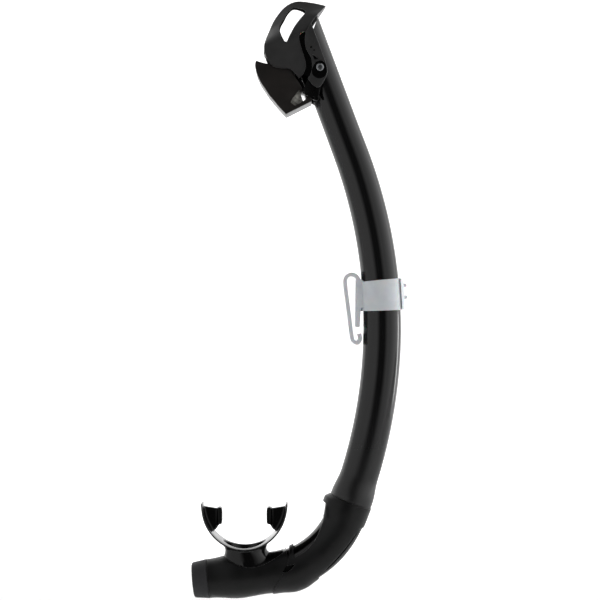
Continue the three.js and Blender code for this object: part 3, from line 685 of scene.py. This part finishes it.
def makePins():
    # a shank and a hollow, rounded rim, as (radius, distance out from the middle)
    profile = [(0, 11.8), (1.3, 11.8), (1.5, 12), (1.5, 16.2), (2.6, 16.2), (2.85, 16.4), (2.85, 16.7),
               (2.65, 17.1), (2.3, 17.35), (1.95, 17.35), (1.65, 17.1), (1.5, 16.7), (1.3, 15.9),
               (1.05, 12.9), (0, 12.8)]
    for side, name, node in ((-1, "pinFront", "hinge_pin_front"), (1, "pinRear", "hinge_pin_rear")):
        turn = headPlace @ Matrix.Rotation(-side * math.pi / 2, 4, "X")
        deliver(turnedPart(name, profile, 48), pinFinish, "barrel", [node], turn)


makePins()
print("head and hood done")


floatSize = {"half": 13, "wall": 1.4, "trench": (39.5, 44.8), "trenchHalf": 11.1,
             "flapGap": 0.4, "gasket": 2, "flap": 1.6, "gap": 0.3, "foamGap": 0.4, "stop": 1.8,
             "stopOut": 15.7}


def flapPoint(along, out):
    # a point on the open flap, along the mouth's slope and out from its plane
    slope = Vector((math.cos(mouthSlope), 0, math.sin(mouthSlope)))
    opened = Matrix.Rotation(-swing, 3, "Y") @ (mouthMiddle + out * mouthNormal + along * slope)
    return opened.x, opened.z


def flapDisc(name, halfLength, halfWidth, low, high, rounding):
    # an oval disc that lies between two heights over the mouth once the float has swung up
    bm = bmesh.new()
    turn = Matrix.Rotation(-swing, 4, "Y") @ Matrix.Translation(mouthMiddle)
    turn = turn @ Matrix.Rotation(-mouthSlope, 4, "Y")
    shape = Matrix.Translation((0, 0, (low + high) / 2)) @ Matrix.Diagonal((halfLength, halfWidth, 1, 1))
    bmesh.ops.create_cone(bm, cap_ends=True, segments=80, radius1=1, radius2=1, depth=high - low,
                          matrix=turn @ shape)
    return roundEdges(makePart(name, bm), rounding, 4, 50)


def makeLever():
    f, h = floatSize, headSize
    arm = smoothLine([(-2.6, 3.3), (-8, -1.6), (-14.6, -8.4), (-16.6, -11.5), (-17, -14.8)], 4)
    arm += smoothLine([(-11.9, -21.3), (-9.6, -21.6), (-8.4, -19.6), (-3.6, -12), (1.8, -4)], 4)
    lever = mirrorPair("floatLever", arm, h["armIn"], h["armOut"], 0.3)
    for side in (-1, 1):
        ends = sorted((side * h["armIn"], side * h["armOut"]))
        join(lever, post("boss", h["boss"], 0, 0, *ends, 0.3))
        ends = sorted((side * h["armIn"], side * f["stopOut"]))
        join(lever, post("stop", f["stop"], -10.1, -20, *ends, 0.4))
    reach = h["armOut"] - 0.3
    bridge = plate("bridge", [(-15.4, -15.4), (-15.4, -9.5), (-17, -9.5), (-17, -15.4)], -reach, reach, 0.3)
    low = f["flapGap"] + f["gasket"] + f["gap"]
    high = low + f["flap"]
    link = [(-14.9, -12), (-14.9, -4), (-16.4, 0), flapPoint(-20, low), flapPoint(-12, low),
            flapPoint(-12, high), flapPoint(-20.5, high), (-18.9, 0.6), (-18, -4), (-17.2, -12)]
    join(lever, bridge, plate("link", link, -6, 6, 0.3), flapDisc("flap", 15.5, 9.5, low, high, 0.5))
    cut(lever, post("bore", h["bore"], 0, 0, -20, 20))
    # the lever takes the near-black painted-shade finish, for the shadow it lies in
    deliver(lever, paintedShadeFinish, "float_lever", ["valve_lever"], headPlace)
    gasket = flapDisc("flapGasket", 17.6, 10.6, f["flapGap"], f["flapGap"] + f["gasket"], 0.8)
    deliver(gasket, sealFinish, "float_lever", ["seal_gasket"], headPlace)


makeLever()


def makeFloat():
    f = floatSize
    front = [(-41.7, 21.3), (-43.4, 18.6), (-44.3, 14.4), (-44.4, 9.8), (-43.9, 4.9), (-42.7, -0.3),
             (-41.5, -5.5), (-39.6, -10.9), (-37.7, -16.3), (-35, -22.9)]
    back = [(-13.9, -20.6), (-13.9, -17.5), (-17.4, -16), (-17.4, -8), (-19, 0), (-20.3, 6), (-33.5, 15.4),
            (-38, 18.4)]
    shell = plate("floatShell", smoothLine(front, 4) + back, -f["half"], f["half"], 2.2, 5)
    reach = f["half"] - f["wall"]
    cavity = [(-33.6, 22), (-35.8, 13), (-36.8, 8.8), (-42.6, 8.3), (-42.3, 4.6), (-41.2, -0.6),
              (-40, -5.9), (-38.2, -11.4), (-36.3, -16.8), (-34.1, -21.3), (-15.4, -19.2), (-15.4, -18.6),
              (-18.9, -17), (-18.9, -8), (-20.5, 0.4), (-22.6, 6.2), (-22.6, 22)]
    near, far = f["trench"]     # a curved slot that clears the hood's tongue as the float swings
    sweep = spread(math.radians(140), math.radians(164), 16)
    slot = [(far * math.cos(t), far * math.sin(t)) for t in sweep]
    slot += [(near * math.cos(t), near * math.sin(t)) for t in reversed(sweep)]
    window = [(-19.8, -9.8), (-17.1, -12.6), (-16.9, -17.2), (-25.4, -19.4), (-27.6, -18), (-28.1, -15)]
    cut(shell, plate("cavity", cavity, -reach, reach),
        plate("slot", slot, -f["trenchHalf"], f["trenchHalf"]),
        plate("window", smoothLine(window + [window[0]], 4)[:-1], -20, 20))
    deliver(shell, floatFinish, "float_lever", ["float_chamber"], headPlace)
    foam = [(-34.8, 12.2), (-36.2, 8.3), (-42, 7.8), (-41.8, 4.4), (-40.8, -0.8), (-39.5, -6.2),
            (-37.8, -11.6), (-35.9, -17), (-33.8, -20.7), (-20, -18.9), (-19.3, -8), (-21, 0.6), (-23.2, 5)]
    plug = plate("foamPlug", foam, -reach + f["foamGap"], reach - f["foamGap"], 0.8)
    deliver(plug, foamFinish, "float_lever", ["foam_float"], headPlace)
    lid = plate("floatLid", [(-22.9, 7.4), (-33.9, 15.2), (-34.2, 13.4), (-22.9, 5.4)],
                -reach + f["gap"], reach - f["gap"], 0.3)
    deliver(lid, floatFinish, "float_lever", ["float_cover"], headPlace)


makeFloat()
print("float done")


elbowSize = {"silicone": 14.3, "siliconeWall": 2.7, "pocketIn": 12.3, "channelIn": 5, "shellEnd": 77.9,
             "waist": 0.35, "thumb": 1.5, "lobe": 0.9, "lobeOut": 1, "cover": -0.4, "panel": 0.5, "gap": 0.3}

shellEdge = [(-22.6, -143.5), (-23.4, -148.5), (-24.3, -153.5), (-26, -159.5), (-30.4, -169.2),
             (-36.8, -176.6), (-43.4, -180.9), (-45.6, -181.2), (-46.4, -178), (-46.2, -172)]
notchOutline = [(-54.4, -192.9), (-51.9, -188.3), (-48.7, -187.7), (-44.6, -186.4), (-47.3, -189.5),
                (-50, -191.8)]
shellFoot = [(-49.6, -172), (-49.8, -179), (-50.8, -186), (-53.6, -193), (-58, -200), (-61, -206),
             (-61.6, -213)]


def bendPoint(station, out):
    # a place in the side view, so far out from the elbow's middle line
    place = elbowAt(station) @ Vector((out, 0, 0))
    return place.x, place.z


def bendLine(points):
    return smoothLine([bendPoint(*p) for p in points], 4)


groove = bendLine([(15, 13.4), (19, 11.8), (26, 10.9), (34, 10.6), (42, 10.9), (49, 11.9), (55, 13.6)])
grooveBack = bendLine([(55, 13.6), (49, 13), (42, 12.2), (34, 11.9), (26, 12.1), (19, 12.9), (15, 13.4)])
grooveOutline = groove + grooveBack[1:-1]


def elbowTube(name, stations, shape, sides=72, caps=True):
    # shape gives the half widths at a station, and how far out of the middle line the tube sits
    bm = sweepTube(stations, lambda s: elbowAt(s) @ oval(*shape(s)), sides=sides, caps=caps)
    return makePart(name, bm)


def makeShell():
    e = elbowSize
    inner = e["silicone"] + e["gap"]
    end = e["shellEnd"] + 8

    def outside(s, proud):
        # proud in front just below the seam, then a waist, then a lobe round the outside of the bend
        thumb = e["thumb"] * (ease(s, 0, 3.5) - ease(s, 8, 19))
        lobe = ease(s, 54, 66) - ease(s, 69, 80)
        width = barrelSize["seam"] - e["waist"] * ease(s, 8, 20) + proud
        return width + e["lobe"] * lobe + thumb, width, e["lobeOut"] * lobe - thumb

    body = elbowTube("elbowCover", spread(0.3, end, 60), lambda s: outside(s, e["cover"]), 96)
    panel = elbowTube("panel", spread(0.3, end, 60), lambda s: outside(s, e["panel"]), 96)
    outline = [(-90, -120), (30, -130), bendPoint(14, 24)] + groove
    outline += [bendPoint(56, 24), (-40, -230), (-90, -230)]
    combine(panel, plate("outline", outline, -22, 22), "INTERSECT")
    join(body, panel)
    cut(body, elbowTube("core", spread(-3, end + 3, 60), lambda s: (inner, inner), 96))
    opening = smoothLine(shellEdge, 5) + [(-50, -165), (-46, -140), (-30, -140)]
    cut(body, plate("opening", opening, -22, 22), mirrorPair("notch", notchOutline, 6, 22),
        plate("foot", smoothLine(shellFoot, 4) + [(-90, -213), (-90, -172)], -22, 22))
    remesh(body, 0.45, 3)
    cut(body, mirrorPair("groove", grooveOutline, 4, 22))
    deliver(body, shellFinish, "elbow", ["elbow_shell"], crease=50)


makeShell()


def makeSiliconeBend():
    e = elbowSize
    tube = elbowTube("siliconeBend", spread(2.4, e["shellEnd"] + 6, 60),
                     lambda s: (e["silicone"], e["silicone"]), 96, caps=False)
    thicken(tube, e["siliconeWall"])
    roundEdges(tube, 0.4, 2, 55)
    cut(tube, mirrorPair("pocket", notchOutline, e["pocketIn"], 22),
        mirrorPair("channel", grooveOutline, e["channelIn"], 22))
    deliver(tube, siliconeFinish, "elbow", ["silicone_bend"])


makeSiliconeBend()

chamberSize = {"start": 84, "end": 130.2, "slim": 14.2, "belly": 2.3, "wall": 1.8, "step": 1.15,
               "stepOver": (80, 104)}


def chamberRadius(station):
    c = chamberSize
    along = min(max((station - c["start"]) / (c["end"] - c["start"]), 0), 1)
    return c["slim"] + c["belly"] * math.sin(math.pi * along) ** 2


mouthSize = {"centre": (-82.3, -143.5), "width": 31, "depth": 33.5, "thickness": 1.9, "half": 14.5,
             "tipHalf": 0.62, "neckX": -81.5, "neckA": 14.8, "neckB": 11, "boreA": 11.5, "boreB": 8,
             "skirtProud": (0.9, 0.6), "skirtDepth": 4, "clearance": -48.4}
saddleLine = [(-99, -182.6), (-93, -185.4), (-86.2, -188.4), (-80, -189.6), (-70.6, -188.8),
              (-58, -182.6), (-49, -176)]


def saddleOutline(lift):
    # above this line is the mouthpiece's skirt, below it the purge chamber
    line = smoothLine([(x, z + lift) for x, z in saddleLine], 4)
    return line + [(-49, -160), (-99, -160)]


def neckPlace(height, offset=0):
    # the neck widens down to the chamber and up to the flange
    m = mouthSize
    flare = 1 - ease(height, -188, -176)
    up = ease(height, -179, -171)
    a = m["neckA"] + 5.2 * flare + 3 * up + offset
    b = m["neckB"] + 2.6 * flare + 1.5 * up + offset
    return Matrix.Translation((m["neckX"] + 3.3 * flare - 0.8 * up, 0, height)) @ oval(a, b)


def archPlace(angle):
    # the flange is a strip along a half oval, narrower at its two tips
    m = mouthSize
    x = m["centre"][0] + m["width"] * math.cos(angle)
    z = m["centre"][1] + m["depth"] * math.sin(angle)
    tangent = math.atan2(m["depth"] * math.cos(angle), -m["width"] * math.sin(angle))
    toTip = min(angle - math.pi, 2 * math.pi - angle) / (math.pi / 2)
    half = m["half"] * (m["tipHalf"] + (1 - m["tipHalf"]) * ease(toTip, 0, 0.32))
    turn = Matrix.Translation((x, 0, z)) @ Matrix.Rotation(-(tangent - math.pi / 2), 4, "Y")
    return turn @ Matrix.Diagonal((m["thickness"] / 2, half, 1, 1))


def makeMouthpiece():
    m = mouthSize
    arch = sweepTube(spread(math.pi, 2 * math.pi, 80), archPlace, sides=48, squareness=3.2, caps=True)
    flange = makePart("biteMouthpiece", arch)
    neck = makePart("neck", sweepTube([-190] + spread(-188, -171, 16), neckPlace, sides=80, caps=True))
    inside = [(m["centre"][0] + (m["width"] - m["thickness"] / 2) * math.cos(t),
               m["centre"][1] + (m["depth"] - m["thickness"] / 2) * math.sin(t))
              for t in spread(math.pi, 2 * math.pi, 60)]
    cut(neck, plate("inside", inside, -20, 20))

    def skirtShape(s):
        return tuple(chamberRadius(s) + proud for proud in m["skirtProud"])

    def skirtHollow(s):
        return chamberRadius(s) - m["skirtDepth"], chamberRadius(s) - m["skirtDepth"]

    def throat(height):
        wider = 4 * ease(height, -183, -172)
        middle = Matrix.Translation((m["neckX"] - 0.2 * wider, 0, height))
        return middle @ oval(m["boreA"] + wider, m["boreB"] + 0.4 * wider)

    def mirrored(points, side):
        return [(m["centre"][0] + side * x, z) for x, z in points]

    skirt = elbowTube("skirt", spread(70, 104, 17), skirtShape, 80)
    combine(skirt, plate("saddleLine", saddleOutline(0), -22, 22), "INTERSECT")
    cut(skirt, block("clearance", (60, 60, 60), Matrix.Translation((m["clearance"] + 30, 0, -190))))
    join(flange, neck, skirt)
    bore = sweepTube([-198] + spread(-184, -165, 12), throat, caps=True)
    cut(flange, elbowTube("skirtBore", spread(74, 122, 12), skirtHollow), makePart("bore", bore))
    blade = [(30.2, -146.2), (19.8, -147.9), (18, -158.8), (21, -163.4), (24.3, -164.8), (29.2, -157)]
    ridge = [(19.6, -146.6), (17.4, -146.9), (16.2, -148.4), (16.2, -158)]
    ridgeFoot = [(16.8, -159.3), (19.4, -159.6)]
    for side in (-1, 1):
        rib = smoothLine(mirrored(ridge, side), 3) + mirrored(ridgeFoot, side)
        join(flange, plate("blade", mirrored(blade, side), -2, 2, 0.4), plate("ridge", rib, -5, 5, 0.6))
    remesh(flange, 0.6, 8)
    deliver(flange, siliconeFinish, "elbow", ["mouthpiece"], crease=60)


makeMouthpiece()
print("elbow and mouthpiece done")


def makeChamber():
    e, c = elbowSize, chamberSize
    start = e["shellEnd"] - 10
    sleeve = e["silicone"] + e["gap"]

    def outside(s):
        radius = chamberRadius(s) + c["step"] * (1 - ease(s, *c["stepOver"]))
        return radius, radius

    body = elbowTube("purgeHousing", spread(start, c["end"], 56), outside, 96, caps=False)
    thicken(body, c["wall"])
    saddle = sweepTube([-190.3] + spread(-188, -165, 20), lambda h: neckPlace(h, e["gap"]), sides=96,
                       caps=True)
    cut(body, makePart("saddle", saddle))
    cut(body, plate("seat", saddleOutline(e["gap"]), -22, 22), mirrorPair("notch", notchOutline, 6, 22))
    foot = [(x + 0.1, z) for x, z in smoothLine(shellFoot, 4)]
    cut(body, plate("foot", foot + [(0, -213), (0, -172)], -22, 22))
    cut(body, elbowTube("sleeve", spread(start - 2, e["shellEnd"] + 6.3, 12), lambda s: (sleeve, sleeve)))
    roundEdges(body, 0.3, 2, 50)
    deliver(body, shellFinish, "elbow", ["purge_chamber"])


makeChamber()


capSize = {"gap": 0.3, "end": -11.2, "wall": 1.5, "spigotWall": 1.3, "slots": 6, "slotAt": 6.4,
           "slot": (5, 1.8, 6)}


def makeCap():
    p = capSize
    rim = chamberRadius(chamberSize["end"])
    spigot = rim - chamberSize["wall"] - p["gap"]
    bore = spigot - p["spigotWall"]
    end = p["end"]
    edge = smoothLine([(rim - 0.25, 0), (rim, -0.4), (rim - 0.5, -4), (rim - 1.3, end + 1.4),
                       (rim - 1.8, end + 0.5), (rim - 2.8, end)], 4)
    profile = [(0, end + p["wall"]), (rim - 4, end + p["wall"]), (bore, -2), (bore, 5), (spigot, 5),
               (spigot, 0)]
    cap = turnedPart("purgeCap", profile + edge + [(0, end)])
    place = elbowAt(chamberSize["end"] + p["gap"])
    for i in range(p["slots"]):
        turn = Matrix.Rotation(i * 2 * math.pi / p["slots"], 4, "Z")
        cut(cap, block("slot", p["slot"], turn @ Matrix.Translation((p["slotAt"], 0, end)), 0.6))
    deliver(cap, capFinish, "elbow", ["purge_cap"], place)


makeCap()
print("purge chamber done")

# the hidden pieces keep their own shapes and take a finish
for name, finish in (("swivel_ring", ringFinish), ("swivel_o_ring", rubberFinish),
                     ("purge_seat", ringFinish), ("purge_diaphragm", sealFinish)):
    carried = frame["nodes"][name]
    carried.data.materials.clear()
    carried.data.materials.append(finish)


# lens and sensor are in millimetres, the other lengths in metres; front, side and rear are how bright the
# room is there, and glow how bright the wall is
studio = {"distance": 1.15, "nudge": 0.0009, "lens": 93.9, "sensor": 36, "floor": -0.3, "apron": -0.4,
          "back": 1.3, "cove": 0.5, "half": 3.2, "height": 3, "front": 0.06, "side": 0.68, "rear": 1.5,
          "glow": 0.75, "stripPower": 3}


def makeBackdrop():
    # one sweep of pale card: floor, cove and wall
    s = studio
    bm = bmesh.new()
    profile = [(s["apron"], s["floor"])]
    for t in spread(-math.pi / 2, 0, 12):
        y = s["back"] - s["cove"] + s["cove"] * math.cos(t)
        profile.append((y, s["floor"] + s["cove"] * (1 + math.sin(t))))
    profile.append((s["back"], s["height"]))
    verts = [bm.verts.new((-s["half"], y, z)) for y, z in profile]
    edges = [bm.edges.new(pair) for pair in zip(verts, verts[1:])]
    grown = bmesh.ops.extrude_edge_only(bm, edges=edges)["geom"]
    moved = [g for g in grown if isinstance(g, bmesh.types.BMVert)]
    bmesh.ops.translate(bm, vec=(2 * s["half"], 0, 0), verts=moved)
    card = makePart("backdropCard", bm)
    finish, tree, surface, where = newFinish("paperCard", Roughness=0.9)
    tree.links.new(blendColours(tree, grain(tree, where, 3, 3), "#f6f6f6", "#fbfbfb"),
                   surface.inputs["Base Color"])
    surface.inputs["Emission Color"].default_value = (1, 1, 1, 1)
    away = add(tree, "SeparateXYZ", {"Vector": where}).outputs["Y"]
    tree.links.new(ramp(tree, away, 0, s["glow"], 0.3, 0.8), surface.inputs["Emission Strength"])
    card.data.materials.append(finish)
    card.data.shade_smooth()


def addLight(name, place, target, width, height, power):
    lamp = bpy.data.lights.new(name, "AREA")
    lamp.shape = "RECTANGLE"
    lamp.size = width
    lamp.size_y = height
    lamp.energy = power
    holder = bpy.data.objects.new(name, lamp)
    holder.location = place
    holder.rotation_euler = (Vector(target) - Vector(place)).to_track_quat("-Z", "Y").to_euler()
    bpy.context.scene.collection.objects.link(holder)


def makeStudio():
    # the room is dim in front, brighter to both sides and brightest to the right and rear
    s = studio
    makeBackdrop()
    world = bpy.data.worlds.new("studioAir")
    world.use_nodes = True
    tree = world.node_tree
    direction = add(tree, "TexCoord").outputs["Generated"]
    split = add(tree, "SeparateXYZ", {"Vector": direction})
    across, depth = split.outputs["X"], split.outputs["Y"]
    aside = add(tree, "Math", {0: across}, operation="ABSOLUTE").outputs[0]
    front = ramp(tree, aside, s["front"], s["side"], 0.22, 0.5)
    right = ramp(tree, across, 0, 1, 0.3, 0.7)
    rise = ramp(tree, depth, 0, s["rear"], -0.75, 0.3)
    total = add(tree, "Math", {0: right, 1: rise, 2: front}, operation="MULTIPLY_ADD").outputs[0]
    tree.links.new(total, tree.nodes["Background"].inputs["Strength"])
    tree.nodes["Background"].inputs["Color"].default_value = (1, 1, 1, 1)
    bpy.context.scene.world = world
    addLight("rightStrip", (1.15, 0.32, -0.32), (0.01, 0, -0.1), 0.22, 0.7, s["stripPower"])
    camera = bpy.data.cameras.new("camera")
    camera.lens = s["lens"]
    camera.sensor_width = s["sensor"]
    holder = bpy.data.objects.new("camera", camera)
    low, high = cadBox
    holder.location = ((low[0] + high[0]) / 2 - s["nudge"], -s["distance"], (low[2] + high[2]) / 2)
    holder.rotation_euler = (math.pi / 2, 0, 0)
    bpy.context.scene.collection.objects.link(holder)
    bpy.context.scene.camera = holder
    bpy.context.scene.view_settings.view_transform = "Standard"


makeStudio()
print("studio ready")
